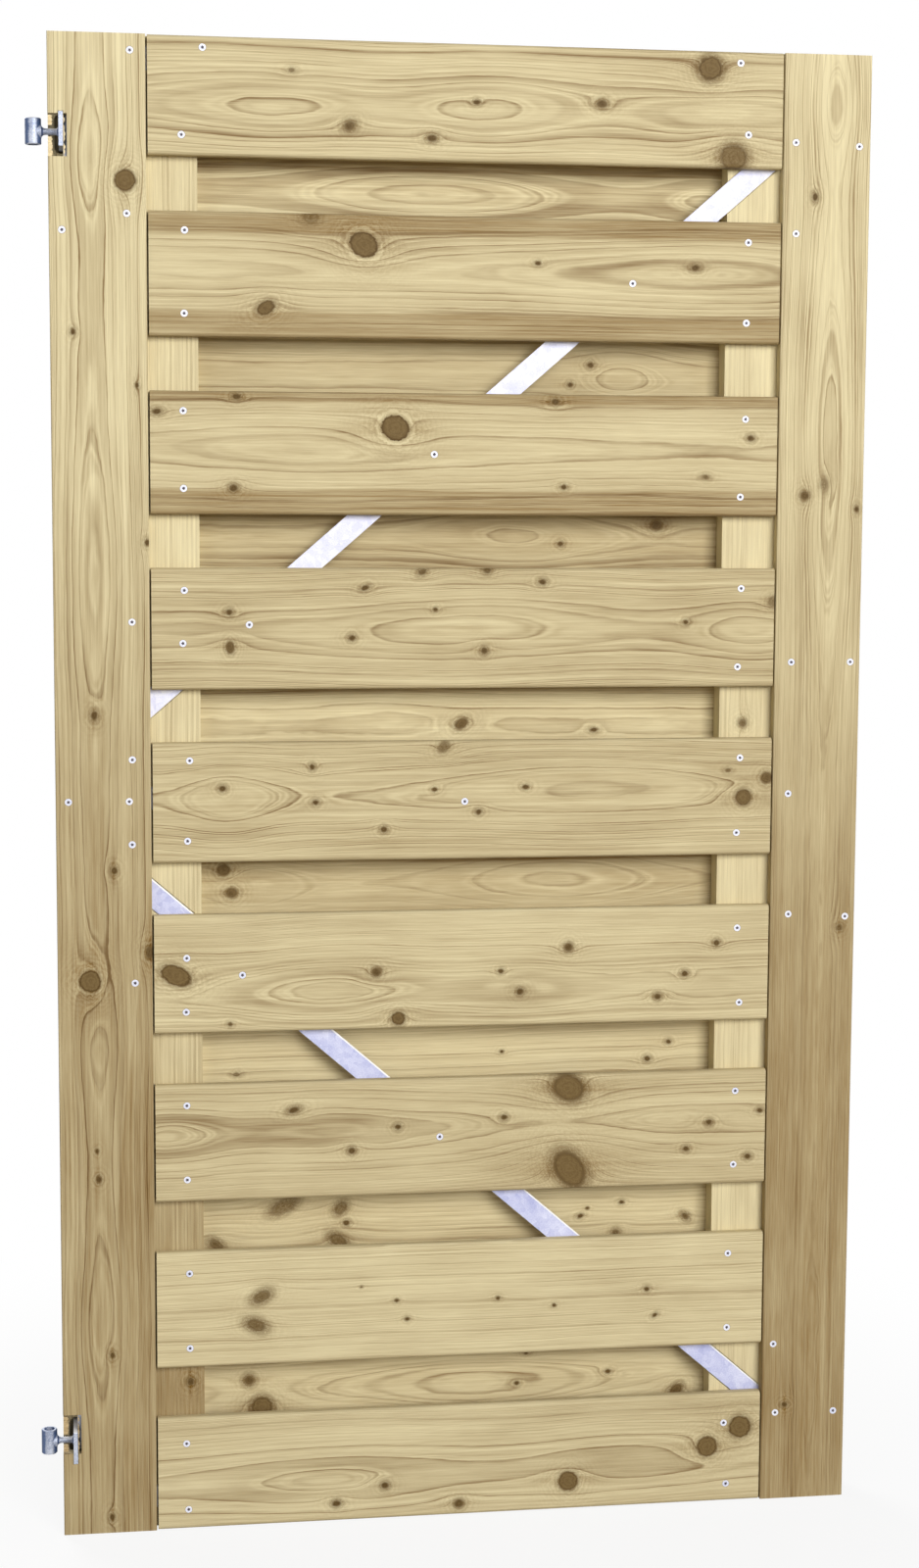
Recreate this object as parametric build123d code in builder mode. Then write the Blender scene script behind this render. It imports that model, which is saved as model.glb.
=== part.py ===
"""Plank garden door on a galvanised steel frame, hung on two welded hinge eyes.

Seen from the front (-Y) the hinge side is on the left. Horizontal boards lie between upright
stiles on both faces, and the rear boards cover the gaps of the front ones. Between the two faces
lies a welded steel frame of square tube and flat bar, beside two wooden battens that are housed
for the bars. The origin is on the hinge axis, at the bottom end of the lower hinge eye.
All sizes are in millimetres.
"""
import os
from math import asin, atan2, cos, hypot, pi, sin, tan

from build123d import *

# Door leaf
door_width = 985
door_height = 1800
hinge_stile_width = 113
latch_stile_width = 108
stile_edge_radius = 1.5
plank_thickness = 16

# Horizontal boards
front_board_count = 9
board_height = 145
top_board_trim = 8
bottom_board_trim = 3.5
board_edge_radius = 5
board_end_gap = 2

# Steel frame
tube_size = 25
tube_wall = 2
tube_corner_radius = 3
bar_width = 27.5
bar_thickness = 4
frame_side_inset = 17.5
frame_top_inset = 11
frame_bottom_inset = 24

# Wooden battens beside the frame
batten_reach = 173
batten_clearance = 1
housing_clearance = 1.2

# Hinge eyes
hinge_end_distance = 110
hinge_offset = 17
sleeve_height = 30
sleeve_diameter = 19
pin_bore = 13
sleeve_edge_break = 0.8
neck_diameter = 7.5
sleeve_flare = 4.5
plate_flare = 3.5
flare_steps = 3
hinge_plate_thickness = 5
hinge_plate_height = 40
hinge_plate_depth = 57
hinge_plate_proud = 2
plate_edge_break = 1

# Cut-outs for the hinge plates
notch_width = 22
notch_height = 49
upper_notch_drop = 7
lower_notch_rise = 17
plate_clearance = 0.6
pocket_width = 15
pocket_end_clearance = 3
pocket_floor_clearance = 1

# Layers of the leaf, from front to back
core_depth = bar_thickness + tube_size
door_thickness = 2 * plank_thickness + core_depth
rear_plank_depth = plank_thickness + core_depth

# Outline of the leaf
hinge_edge_x = hinge_offset
latch_edge_x = hinge_edge_x + door_width
bottom_z = sleeve_height / 2 - hinge_end_distance
top_z = bottom_z + door_height
middle_x = (hinge_edge_x + latch_edge_x) / 2
middle_z = (bottom_z + top_z) / 2

# Spacing of the boards. The top and bottom ones are trimmed to the height of the leaf
board_start_x = hinge_edge_x + hinge_stile_width + board_end_gap
board_end_x = latch_edge_x - latch_stile_width - board_end_gap
untrimmed_height = door_height + top_board_trim + bottom_board_trim
board_pitch = (untrimmed_height - board_height) / (front_board_count - 1)
top_board_z = top_z + top_board_trim - board_height / 2

# Outline of the steel frame
frame_left_x = hinge_edge_x + frame_side_inset
frame_right_x = latch_edge_x - frame_side_inset
frame_bottom_z = bottom_z + frame_bottom_inset
frame_top_z = top_z - frame_top_inset
frame_width = frame_right_x - frame_left_x
frame_height = frame_top_z - frame_bottom_z
middle_rail_z = (frame_bottom_z + frame_top_z) / 2
top_rail_z = frame_top_z - bar_width / 2
bottom_rail_z = frame_bottom_z + bar_width / 2

# The upper brace runs from the middle rail at the hinge side to the top rail at the latch side
brace_start_x = frame_left_x
brace_start_z = middle_rail_z + bar_width / 2
brace_run = frame_width - tube_size
brace_climb = top_rail_z - bar_width - middle_rail_z
brace_angle = atan2(brace_climb, brace_run) - asin(bar_width / hypot(brace_run, brace_climb))
brace_slope = tan(brace_angle)

# Hinge eyes
lower_hinge_z = bottom_z + hinge_end_distance
upper_hinge_z = top_z - hinge_end_distance
hinge_plate_x = frame_left_x - hinge_plate_thickness
hinge_plate_y = (hinge_plate_depth - door_thickness) / 2 - hinge_plate_proud
hinge_plate_reach = hinge_plate_depth - hinge_plate_proud
pocket_depth = hinge_plate_reach - rear_plank_depth + pocket_floor_clearance


def layer(depth):
    """Upright plane at a depth behind the front face of the leaf, facing the front."""
    return Plane.XZ.offset(door_thickness / 2 - depth)


def make_board(centre_z, depth):
    """Horizontal board with rounded long edges, kept within the height of the leaf."""
    upper_z = min(centre_z + board_height / 2, top_z)
    lower_z = max(centre_z - board_height / 2, bottom_z)
    with BuildPart() as board:
        with BuildSketch(layer(depth)):
            with Locations(((board_start_x + board_end_x) / 2, (upper_z + lower_z) / 2)):
                Rectangle(board_end_x - board_start_x, upper_z - lower_z)
        extrude(amount=-plank_thickness)
        fillet(board.edges().filter_by(Axis.X), radius=board_edge_radius)
    return board


def make_stile(edge_x, inner_x, depth):
    """Upright plank along one edge of the leaf, with eased edges."""
    with BuildPart() as stile:
        with BuildSketch(layer(depth)):
            with Locations(((edge_x + inner_x) / 2, middle_z)):
                Rectangle(abs(inner_x - edge_x), door_height)
        extrude(amount=-plank_thickness)
        fillet(stile.edges().filter_by(Axis.Z), radius=stile_edge_radius)
    return stile


def draw_upper_brace(side_clearance):
    """Outline of the upper brace, run on past both ends, for the sketch around this call."""
    overrun = 2 * bar_width
    left_x = brace_start_x - overrun
    right_x = frame_right_x + overrun
    left_z = brace_start_z - brace_slope * overrun
    right_z = left_z + brace_slope * (right_x - left_x)
    lower_shift = -hypot(1, brace_slope) * side_clearance
    upper_shift = hypot(1, brace_slope) * (bar_width + side_clearance)
    Polygon(
        (left_x, left_z + lower_shift),
        (right_x, right_z + lower_shift),
        (right_x, right_z + upper_shift),
        (left_x, left_z + upper_shift),
        align=None,
    )


def make_batten(outer_x, inner_x):
    """Wooden batten between the two faces, housed for the rails and braces that cross it."""
    housing_width = bar_width + 2 * housing_clearance
    with BuildPart() as batten:
        with BuildSketch(layer(plank_thickness)):
            with Locations(((outer_x + inner_x) / 2, middle_z)):
                Rectangle(abs(inner_x - outer_x), door_height)
        extrude(amount=-core_depth)
        with BuildSketch(layer(plank_thickness)):
            draw_upper_brace(housing_clearance)
            with Locations((middle_x, middle_rail_z), (middle_x, top_rail_z)):
                Rectangle(door_width, housing_width)
            mirror(about=Plane.XZ.offset(-middle_rail_z))
        extrude(amount=-bar_thickness, mode=Mode.SUBTRACT)
    return batten


def make_upright(centre_x):
    """Square tube along one side of the steel frame."""
    tube_y = door_thickness / 2 - plank_thickness - tube_size / 2
    bore_size = tube_size - 2 * tube_wall
    bore_radius = tube_corner_radius - tube_wall
    with BuildPart() as upright:
        with BuildSketch(Plane.XY.offset(frame_bottom_z)):
            with Locations((centre_x, tube_y)):
                RectangleRounded(tube_size, tube_size, tube_corner_radius)
                RectangleRounded(bore_size, bore_size, bore_radius, mode=Mode.SUBTRACT)
        extrude(amount=frame_height)
    return upright


def make_rail(centre_z):
    """Flat bar across the front of both uprights."""
    with BuildPart() as rail:
        with BuildSketch(layer(plank_thickness)):
            with Locations((middle_x, centre_z)):
                Rectangle(frame_width, bar_width)
        extrude(amount=-bar_thickness)
    return rail


def flare_points(throat_x, mouth_x, throat_radius):
    """Points along a hollow quarter-circle flare of the neck, from its throat to its mouth."""
    reach = mouth_x - throat_x
    turns = [pi / 2 * step / flare_steps for step in range(flare_steps + 1)]
    return [
        (throat_x + reach * sin(turn), throat_radius + abs(reach) * (1 - cos(turn)))
        for turn in turns
    ]


def make_hinge(centre_z):
    """Hinge eye: a sleeve for the pin, a flared neck, and the plate that meets the upright."""
    neck_radius = neck_diameter / 2
    sleeve_radius = sleeve_diameter / 2
    sleeve_points = flare_points(sleeve_radius + sleeve_flare, sleeve_radius, neck_radius)
    plate_points = flare_points(hinge_plate_x - plate_flare, hinge_plate_x, neck_radius)
    root = (0, neck_radius + sleeve_flare)
    outline = [root, *reversed(sleeve_points), *plate_points, (hinge_plate_x, 0), (0, 0)]
    neck_plane = Plane(origin=(0, 0, centre_z), x_dir=(1, 0, 0), z_dir=(0, -1, 0))
    with BuildPart() as hinge:
        with BuildSketch(neck_plane):
            with BuildLine():
                Polyline(*outline, close=True)
            make_face()
        revolve(axis=Axis((0, 0, centre_z), (1, 0, 0)))
        with BuildSketch(Plane.XY.offset(centre_z - sleeve_height / 2)):
            Circle(sleeve_radius)
        extrude(amount=sleeve_height)
        rims = hinge.edges().filter_by(GeomType.CIRCLE).sort_by(Axis.Z)
        chamfer([rims[0], rims[-1]], length=sleeve_edge_break)
        with BuildSketch(Plane.YZ.offset(hinge_plate_x)):
            with Locations((hinge_plate_y, centre_z)):
                RectangleRounded(hinge_plate_depth, hinge_plate_height, plate_edge_break)
        extrude(amount=hinge_plate_thickness)
        with Locations((0, 0, centre_z)):
            Hole(radius=pin_bore / 2)
    return hinge


os.makedirs("parts", exist_ok=True)

# Front boards, counted from the top
for number in range(1, front_board_count + 1):
    front_board = make_board(top_board_z - (number - 1) * board_pitch, 0)
    front_board.part.label = f"front_board_{number}"
    export_step(front_board.part, f"parts/front_board_{number}.step")

# Rear boards, each behind the gap below the front board of the same number
for number in range(1, front_board_count):
    rear_board = make_board(top_board_z - (number - 0.5) * board_pitch, rear_plank_depth)
    rear_board.part.label = f"rear_board_{number}"
    export_step(rear_board.part, f"parts/rear_board_{number}.step")

# Front stile at the hinge side, notched at its edge for the hinge eyes, with slits for the plates
front_stile_blank = make_stile(hinge_edge_x, hinge_edge_x + hinge_stile_width, 0)
upper_notch_z = upper_hinge_z - upper_notch_drop
lower_notch_z = lower_hinge_z + lower_notch_rise
hinge_plate_centre_x = hinge_plate_x + hinge_plate_thickness / 2
slit_width = hinge_plate_thickness + 2 * plate_clearance
slit_height = hinge_plate_height + 2 * plate_clearance
with BuildPart() as front_stile_hinge_side:
    add(front_stile_blank.part)
    with BuildSketch(layer(0)):
        with Locations((hinge_edge_x, upper_notch_z), (hinge_edge_x, lower_notch_z)):
            Rectangle(2 * notch_width, notch_height)
        with Locations((hinge_plate_centre_x, upper_hinge_z), (hinge_plate_centre_x, lower_hinge_z)):
            Rectangle(slit_width, slit_height)
    extrude(amount=-plank_thickness, mode=Mode.SUBTRACT)
front_stile_hinge_side.part.label = "front_stile_hinge_side"
export_step(front_stile_hinge_side.part, "parts/front_stile_hinge_side.step")

# Rear stile at the hinge side, with a blind round-ended pocket for each hinge plate
rear_stile_blank = make_stile(hinge_edge_x, hinge_edge_x + hinge_stile_width, rear_plank_depth)
pocket_height = hinge_plate_height + 2 * pocket_end_clearance
with BuildPart() as rear_stile_hinge_side:
    add(rear_stile_blank.part)
    with BuildSketch(layer(rear_plank_depth)):
        with Locations((hinge_plate_centre_x, upper_hinge_z), (hinge_plate_centre_x, lower_hinge_z)):
            SlotOverall(pocket_height, pocket_width, rotation=90)
    extrude(amount=-pocket_depth, mode=Mode.SUBTRACT)
rear_stile_hinge_side.part.label = "rear_stile_hinge_side"
export_step(rear_stile_hinge_side.part, "parts/rear_stile_hinge_side.step")

# Plain stiles at the latch side
front_stile_latch_side = make_stile(latch_edge_x, latch_edge_x - latch_stile_width, 0)
front_stile_latch_side.part.label = "front_stile_latch_side"
export_step(front_stile_latch_side.part, "parts/front_stile_latch_side.step")
rear_stile_latch_side = make_stile(latch_edge_x, latch_edge_x - latch_stile_width, rear_plank_depth)
rear_stile_latch_side.part.label = "rear_stile_latch_side"
export_step(rear_stile_latch_side.part, "parts/rear_stile_latch_side.step")

# Battens, from the uprights to their inner edges
batten_start = tube_size + batten_clearance
batten_hinge_side = make_batten(frame_left_x + batten_start, hinge_edge_x + batten_reach)
batten_hinge_side.part.label = "batten_hinge_side"
export_step(batten_hinge_side.part, "parts/batten_hinge_side.step")
batten_latch_side = make_batten(frame_right_x - batten_start, latch_edge_x - batten_reach)
batten_latch_side.part.label = "batten_latch_side"
export_step(batten_latch_side.part, "parts/batten_latch_side.step")

# Uprights of the steel frame
upright_hinge_side = make_upright(frame_left_x + tube_size / 2)
upright_hinge_side.part.label = "frame_upright_hinge_side"
export_step(upright_hinge_side.part, "parts/frame_upright_hinge_side.step")
upright_latch_side = make_upright(frame_right_x - tube_size / 2)
upright_latch_side.part.label = "frame_upright_latch_side"
export_step(upright_latch_side.part, "parts/frame_upright_latch_side.step")

# Rails of the steel frame
for place, rail_z in (("top", top_rail_z), ("middle", middle_rail_z), ("bottom", bottom_rail_z)):
    rail = make_rail(rail_z)
    rail.part.label = f"frame_rail_{place}"
    export_step(rail.part, f"parts/frame_rail_{place}.step")

# Braces, cut off along the rails and along the outer sides of the uprights
panel_z = middle_rail_z + (bar_width + brace_climb) / 2
with BuildPart() as brace_upper:
    with BuildSketch(layer(plank_thickness)):
        draw_upper_brace(0)
        with Locations((middle_x, panel_z)):
            Rectangle(frame_width, brace_climb, mode=Mode.INTERSECT)
    extrude(amount=-bar_thickness)
brace_upper.part.label = "brace_upper"
export_step(brace_upper.part, "parts/brace_upper.step")
with BuildPart() as brace_lower:
    mirror(brace_upper.part, about=Plane.XY.offset(middle_rail_z))
brace_lower.part.label = "brace_lower"
export_step(brace_lower.part, "parts/brace_lower.step")

# Hinge eyes
for place, hinge_z in (("upper", upper_hinge_z), ("lower", lower_hinge_z)):
    hinge = make_hinge(hinge_z)
    hinge.part.label = f"hinge_{place}"
    export_step(hinge.part, f"parts/hinge_{place}.step")
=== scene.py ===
"""Plank garden door on a steel frame: wood, galvanised steel, screws, light and camera.

Lengths in the tables are in millimetres. Along a plank they are counted from the hinge edge of the
leaf (boards) or from its top (stiles and battens), and across it from its centre line, downward or
towards the latch edge.
"""
from math import cos, pi, radians, sin
from random import Random

import bmesh
import bpy
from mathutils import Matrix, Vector


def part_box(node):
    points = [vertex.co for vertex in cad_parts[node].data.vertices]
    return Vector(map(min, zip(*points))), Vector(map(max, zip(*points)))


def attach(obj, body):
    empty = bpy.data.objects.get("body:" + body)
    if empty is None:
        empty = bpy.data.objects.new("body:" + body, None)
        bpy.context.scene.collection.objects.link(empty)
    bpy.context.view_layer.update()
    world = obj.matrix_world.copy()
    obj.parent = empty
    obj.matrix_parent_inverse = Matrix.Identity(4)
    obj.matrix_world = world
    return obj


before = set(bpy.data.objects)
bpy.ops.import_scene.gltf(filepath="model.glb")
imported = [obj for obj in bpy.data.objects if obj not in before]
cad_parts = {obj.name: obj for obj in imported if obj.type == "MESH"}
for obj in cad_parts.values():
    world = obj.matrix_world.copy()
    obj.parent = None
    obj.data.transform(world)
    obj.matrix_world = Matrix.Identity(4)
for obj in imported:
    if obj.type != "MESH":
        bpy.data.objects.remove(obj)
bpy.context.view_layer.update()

MM = 0.001

# The leaf, from the frame
leaf_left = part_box("front_stile_hinge_side")[0].x
leaf_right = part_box("front_stile_latch_side")[1].x
leaf_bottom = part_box("front_stile_hinge_side")[0].z
leaf_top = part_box("front_stile_hinge_side")[1].z
leaf_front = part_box("front_board_1")[0].y
leaf_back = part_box("rear_board_1")[1].y

# The camera of the photograph, which is 938 by 1600 pixels
camera_place = (0.03978, -3.15816, 1.17400)
camera_turn = (83.7308, -0.2767, -8.3836)
camera_lens = 60.095
sensor_long_side = 36


class Nodes:
    """Adds nodes to a tree. A value is a number, a tuple or the output of another node."""

    def __init__(self, tree):
        self.tree = tree

    def add(self, kind, **settings):
        made = self.tree.nodes.new("ShaderNode" + kind)
        for name, value in settings.items():
            setattr(made, name, value)
        return made

    def put(self, socket, value):
        if isinstance(value, bpy.types.NodeSocket):
            self.tree.links.new(value, socket)
        else:
            socket.default_value = value

    def math(self, operation, *values, clamp=False):
        made = self.add("Math", operation=operation, use_clamp=clamp)
        for socket, value in zip(made.inputs, values):
            self.put(socket, value)
        return made.outputs[0]

    def plus(self, first, second, **settings):
        return self.math("ADD", first, second, **settings)

    def minus(self, first, second, **settings):
        return self.math("SUBTRACT", first, second, **settings)

    def times(self, first, second, **settings):
        return self.math("MULTIPLY", first, second, **settings)

    def over(self, first, second):
        return self.math("DIVIDE", first, second)

    def linear(self, value, slope, base, **settings):
        """The value times the slope, plus the base."""
        return self.math("MULTIPLY_ADD", value, slope, base, **settings)

    def vector(self, operation, *values):
        made = self.add("VectorMath", operation=operation)
        for socket, value in zip(made.inputs, values):
            self.put(socket, value)
        return made.outputs["Vector"]

    def split(self, vector):
        made = self.add("SeparateXYZ")
        self.put(made.inputs[0], vector)
        return made.outputs

    def join(self, *values):
        made = self.add("CombineXYZ")
        for socket, value in zip(made.inputs, values):
            self.put(socket, value)
        return made.outputs[0]

    def noise(self, point, detail=2.0):
        """Soft noise of the point, from about -1 to 1, with features of about unit size."""
        made = self.add("TexNoise")
        self.put(made.inputs["Vector"], point)
        self.put(made.inputs["Scale"], 1.0)
        self.put(made.inputs["Detail"], detail)
        return self.linear(made.outputs["Fac"], 3.0, -1.5)

    def smooth(self, value, start, end, low=0.0, high=1.0):
        """Smooth step from low to high between start and end."""
        made = self.add("MapRange", interpolation_type="SMOOTHSTEP")
        for name, given in (("Value", value), ("From Min", start), ("From Max", end),
                            ("To Min", low), ("To Max", high)):
            self.put(made.inputs[name], given)
        return made.outputs["Result"]

    def mix(self, factor, first, second, blend="MIX", clamp=True):
        made = self.add("Mix", data_type="RGBA", blend_type=blend, clamp_factor=clamp)
        for socket, value in zip([made.inputs[0], *made.inputs[6:8]], (factor, first, second)):
            self.put(socket, value)
        return made.outputs[2]

    def scaled(self, colour, factor):
        """The colour or vector times a number."""
        made = self.add("VectorMath", operation="SCALE")
        self.put(made.inputs[0], colour)
        self.put(made.inputs["Scale"], factor)
        return made.outputs["Vector"]

    def background_seen(self):
        """1 for rays that show the background, straight or in gloss or glass, and 0 for light."""
        light = self.add("LightPath").outputs
        seen = self.math("MAXIMUM", light["Is Camera Ray"], light["Is Glossy Ray"])
        return self.math("MAXIMUM", seen, light["Is Transmission Ray"])

    def bell(self, value):
        """Bell curve: 1 where the value is 0, and less on both sides of it."""
        return self.math("EXPONENT", self.times(self.times(value, value), -1))

    def roughen(self, surface, height, strength, distance):
        """Bump from a height, up to a distance in millimetres."""
        bump = self.add("Bump")
        bump.inputs["Strength"].default_value = strength
        bump.inputs["Distance"].default_value = distance * MM
        self.put(bump.inputs["Height"], height)
        self.put(surface.inputs["Normal"], bump.outputs["Normal"])


def new_group(name, inputs, outputs):
    """A node group with sockets from (name, kind) pairs: its Nodes, and its ends' sockets."""
    tree = bpy.data.node_groups.new(name, "ShaderNodeTree")
    for in_out, sockets in (("INPUT", inputs), ("OUTPUT", outputs)):
        for label, kind in sockets:
            tree.interface.new_socket(label, in_out=in_out, socket_type="NodeSocket" + kind)
    given = tree.nodes.new("NodeGroupInput").outputs
    result = tree.nodes.new("NodeGroupOutput").inputs
    return Nodes(tree), given, result


# The grain gives way to a knot by this share of its distance, less along the plank and across it
KNOT_PULL = 0.7
PULL_FALL_ALONG = -0.09
PULL_FALL_ACROSS = -0.28
# The dark tail of a knot, and the swelling of the rings round it, fall off like this
TAIL_FALL_ALONG = -0.5
TAIL_FALL_ACROSS = -5.0
SWELL_FALL = -0.75
SWELL_STRETCH = 0.3


def make_knot_group():
    """One knot: bends the grain round itself, and passes on what is needed of the nearest knot."""
    carried = ("Across", "Nearest", "Size", "Tone", "Smudge", "Tail", "Bulge")
    state = [(name, "Float") for name in carried]
    place = [("Point", "Vector"), ("Centre", "Vector"), ("Radius", "Float"), ("Length", "Float"),
             ("Lean", "Float"), ("Knot tone", "Float"), ("Knot smudge", "Float")]
    nodes, given, result = new_group("knot", place + state, state)
    offset = nodes.split(nodes.vector("SUBTRACT", given["Point"], given["Centre"]))
    along = nodes.over(offset["X"], given["Radius"])
    across = nodes.over(offset["Y"], given["Radius"])
    across_square = nodes.times(across, across)
    leaning = nodes.linear(across, given["Lean"], along)
    leaning = nodes.over(leaning, given["Length"])
    distance = nodes.math("SQRT", nodes.linear(leaning, leaning, across_square))
    along_square = nodes.times(along, along)
    fall = nodes.times(across_square, PULL_FALL_ACROSS)
    fall = nodes.linear(along_square, PULL_FALL_ALONG, fall)
    pull = nodes.times(nodes.math("EXPONENT", fall), KNOT_PULL)
    bend = nodes.times(offset["Y"], pull)
    nodes.put(result["Across"], nodes.minus(given["Across"], bend))
    nearer = nodes.math("LESS_THAN", distance, given["Nearest"])
    nodes.put(result["Nearest"], nodes.math("MINIMUM", distance, given["Nearest"]))
    own_values = (("Size", "Radius"), ("Tone", "Knot tone"), ("Smudge", "Knot smudge"))
    for name, own in own_values:
        change = nodes.minus(given[own], given[name])
        nodes.put(result[name], nodes.linear(change, nearer, given[name]))
    fall = nodes.times(nodes.math("ABSOLUTE", along), TAIL_FALL_ALONG)
    fall = nodes.linear(across_square, TAIL_FALL_ACROSS, fall)
    tail = nodes.times(nodes.math("EXPONENT", fall), given["Knot tone"])
    nodes.put(result["Tail"], nodes.math("MAXIMUM", tail, given["Tail"]))
    stretched = nodes.linear(along_square, SWELL_STRETCH, across_square)
    swell = nodes.math("EXPONENT", nodes.times(nodes.math("SQRT", stretched), SWELL_FALL))
    swell = nodes.times(nodes.times(swell, given["Radius"]), given["Knot tone"])
    nodes.put(result["Bulge"], nodes.plus(swell, given["Bulge"]))
    return nodes.tree


# Colours of the wood. Darkening multiplies them, up to this at 1
PALE_WOOD = (0.65, 0.555, 0.333, 1)
LATE_WOOD = (0.28, 0.19, 0.087, 1)
DARKENED = (0.56, 0.476, 0.385, 1)
KNOT_MIDDLE = (0.205, 0.138, 0.056, 1)
KNOT_RIM = (0.095, 0.055, 0.018, 1)
KNOT_HALO = (0.16, 0.1, 0.036, 1)

# Noises of the wood, as (length, width, weight), with the first two in millimetres. First those
# that bend the growth rings: the pith's wander, the waves of the rings and of the fine lines
PITH_WANDER = (420, 150)
WANDER_SHARE = 0.6
PITH_DEPTH_WANDER = (260, 110, 2.2)
RING_WAVES = ((90, 24, 0.6), (42, 12, 0.34), (18, 5, 0.2))
FINE_WAVE = (60, 8, 1.2)
# Those that darken the wood, and the patches in which the fine lines show
FIBRE = (34, 0.8)
FIBRE_WEIGHT = 0.26
STREAKS = (380, 2.6)
STREAK_WEIGHT = 0.26
FINE_WEIGHT = 0.17
FINE_PATCHES = (210, 26)
BLOTCHES = ((220, 9, 0.16), (150, 36, 0.2))
# Those of the rings' strength, and of the dense wood along the edges, which along the top of a rear
# board is painted shadow
LATE_FIBRE = (70, 1.1, 0.5)
LATE_BASE = 0.9
RING_PATCHES = (150, 30, 0.7)
RING_BASE = 0.95
BAND_WAVE = (260, 40, 3.0)
BAND_STREAKS = (500, 1.6, 0.36)
BAND_PATCHES = (240, 5, 0.22)
BAND_BASE = 0.7

# Smooth steps, as (start, end, low, high). In a ring, from 0 to 1, the late wood sets in slowly and
# then fast, and ends. Over the pith it is paler, within millimetres of it
LATE_SLOW = (0.15, 0.9, 0.0, 0.5)
LATE_FAST = (0.6, 0.9, 0.0, 0.5)
LATE_END = (0.86, 1.0, 1.0, 0.0)
OVER_PITH = (0, 12, 0.7, 1.0)
FINE_STEP = (-0.5, 0.7, 0.2, 1.0)
BAND_STEP = (-2.5, 2.0, 1.0, 0.0)

# The rings rise by this share over a knot, and their widths vary, with this pace and by this
KNOT_RISE = 1.3
UNEVEN_PACE = 0.9
UNEVENNESS = 1.4
# Fine lines to a growth ring
FINE_LINES = 2.7
# Here and below, pairs are (slope, base): the base plus the slope times what they depend on. This
# one depends on the square of a random number
RING_STRENGTH = (0.72, 0.27)

# Scales of the noises that make knots ragged, and how far their outline is
RAGGED_SCALE = (0.18, 0.22, 0.22)
ROUGH_SCALE = (0.55, 0.7, 0.7)
RAGGEDNESS = 0.1
# Round a knot: the shade, the lines that swirl every so many millimetres, the pale gleam at a
# distance of so many radii, and the dark tails
KNOT_SHADE = (0.016, 0.026)
SWIRL_PERIOD = 5.4
SWIRL_RAGGED = 2.8
SWIRL_FALL = -0.9
SWIRL_WEIGHT = 0.3
GLEAM_PLACE = 1.22
GLEAM_SHARPNESS = 7
GLEAM_WEIGHT = -0.5
TAIL_STREAKS = (0.8, 0.75)
TAIL_WEIGHT = 0.9

# Radii in millimetres of the knots that look small and big, with a mixture between them. A small
# knot is a dark middle with a ragged brown halo, a big one a brown disc with a dark rim
SMALL_KNOT = 5.0
BIG_KNOT = 11.0
# These depend on how big it is, from 0 to 1
CORE_REACH = (0.42, 0.58)
CORE_SOFTNESS = (-0.22, 0.3)
CORE_TEAR = (-0.12, 0.15)
CORE_DARKNESS = (-0.5, 0.5)
HALO_REACH = (-0.75, 0.95)
# What being smudged adds to them, and the halo's strength, which depends on it alone
SMUDGE_TEAR = 0.12
SMUDGE_SOFTNESS = 0.22
SMUDGE_REACH = 0.75
HALO_STRENGTH = (0.55, 0.4)
HALO_TEAR = 0.12
HALO_RAGGED = 0.2
CORE_RINGS = (0.15, 0.26)
CORE_MOTTLE = 0.22
CORE_STEP = (-0.6, 0.6)
RIM_STEP = (0.78, 0.95, 0.0, 0.7)

# Gloss and relief
WOOD_ROUGHNESS = (0.05, 0.62)
LATE_GLOSS = -0.1
KNOT_GLOSS = -0.14
LATE_HEIGHT = 0.5
FIBRE_HEIGHT = 0.3
KNOT_HEIGHT = 0.3


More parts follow.
